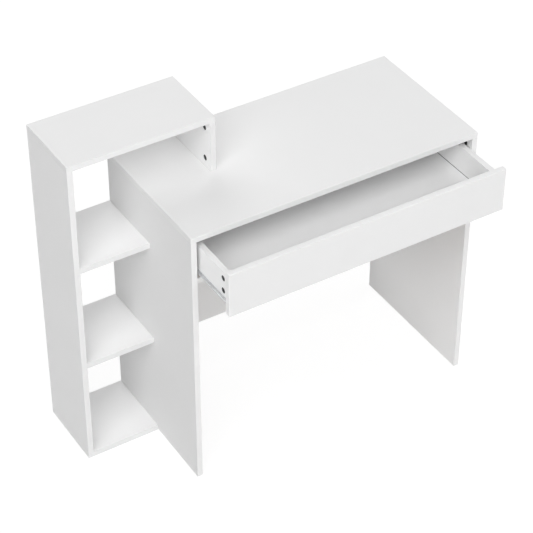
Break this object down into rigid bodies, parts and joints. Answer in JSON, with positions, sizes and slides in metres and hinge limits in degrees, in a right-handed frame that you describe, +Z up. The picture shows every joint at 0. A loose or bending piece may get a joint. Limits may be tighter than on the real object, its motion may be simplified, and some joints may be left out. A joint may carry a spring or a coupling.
{
  "type": "student desk",
  "caption": "White board student desk with an inset drawer under its top and an open shelf unit on its left that rises into a hutch over the desktop.",
  "frame": {"origin": "centre of the footprint at floor level, with the drawer part open as stored", "axes": "+X to the right of someone sitting at the desk, +Y to the back, +Z up"},
  "size_m": [1, 0.538, 0.9],
  "materials": {
    "white_board": "matt white melamine on chipboard",
    "drawer_board": "smooth white foil on chipboard",
    "hardboard": "white lacquered hardboard",
    "slide_steel": "zinc plated, rolled",
    "roller_nylon": "moulded, satin",
    "pin_steel": "zinc plated",
    "cam_zinc": "die cast, dull grey",
    "bolt_steel": "zinc plated",
    "screw_steel": "zinc plated",
    "dowel_wood": "bare beech"
  },
  "bodies": {
    "carcass": {"desk_left_side": "white_board", "desk_right_side": "white_board", "desktop": "white_board", "back_panel": "white_board", "left_stop_batten": "white_board", "right_stop_batten": "white_board", "shelf_outer_side": "white_board", "hutch_top": "white_board", "hutch_support": "white_board", "bottom_shelf": "white_board", "middle_shelf": "white_board", "upper_shelf": "white_board", "left_outer_slide": "slide_steel", "right_outer_slide": "slide_steel", "desktop_cams": "cam_zinc", "back_panel_cams": "cam_zinc", "shelf_cams": "cam_zinc", "hutch_cams": "cam_zinc", "desktop_bolts": "bolt_steel", "back_panel_bolts": "bolt_steel", "shelf_bolts": "bolt_steel", "hutch_bolts": "bolt_steel", "desk_dowels": "dowel_wood", "shelf_dowels": "dowel_wood", "hutch_dowels": "dowel_wood", "desk_slide_screws": "screw_steel", "batten_screws": "screw_steel", "front_roller_pins": "pin_steel"},
    "drawer": {"drawer_front": "white_board", "drawer_left_side": "drawer_board", "drawer_right_side": "drawer_board", "drawer_back": "drawer_board", "drawer_bottom": "hardboard", "left_inner_slide": "slide_steel", "right_inner_slide": "slide_steel", "drawer_front_cams": "cam_zinc", "drawer_front_bolts": "bolt_steel", "drawer_slide_screws": "screw_steel", "drawer_back_screws": "screw_steel", "drawer_bottom_screws": "screw_steel", "rear_roller_pins": "pin_steel"},
    "left_front_roller_wheel": {"left_front_roller": "roller_nylon"},
    "right_front_roller_wheel": {"right_front_roller": "roller_nylon"},
    "left_rear_roller_wheel": {"left_rear_roller": "roller_nylon"},
    "right_rear_roller_wheel": {"right_rear_roller": "roller_nylon"}
  },
  "joints": [
    {"name": "drawer_slide", "type": "slide", "parent": "carcass", "child": "drawer", "axis": [0, -1, 0], "range_m": [-0.138, 0.092]},
    {"name": "left_front_roller_roll", "type": "hinge", "parent": "carcass", "child": "left_front_roller_wheel", "pos_m": [-0.279, -0.104, 0.63865], "axis": [1, 0, 0], "range_deg": [-1320, 881]},
    {"name": "right_front_roller_roll", "type": "hinge", "parent": "carcass", "child": "right_front_roller_wheel", "pos_m": [0.479, -0.104, 0.63865], "axis": [1, 0, 0], "range_deg": [-1320, 881]},
    {"name": "left_rear_roller_roll", "type": "hinge", "parent": "drawer", "child": "left_rear_roller_wheel", "pos_m": [-0.279, 0.05, 0.63865], "axis": [1, 0, 0], "range_deg": [-1320, 881]},
    {"name": "right_rear_roller_roll", "type": "hinge", "parent": "drawer", "child": "right_rear_roller_wheel", "pos_m": [0.479, 0.05, 0.63865], "axis": [1, 0, 0], "range_deg": [-1320, 881]}
  ],
  "couplings": [
    {"joint": "left_front_roller_roll", "follows": "drawer_slide", "rad_per_m": 166.67},
    {"joint": "right_front_roller_roll", "follows": "drawer_slide", "rad_per_m": 166.67},
    {"joint": "left_rear_roller_roll", "follows": "drawer_slide", "rad_per_m": 166.67},
    {"joint": "right_rear_roller_roll", "follows": "drawer_slide", "rad_per_m": 166.67}
  ]
}
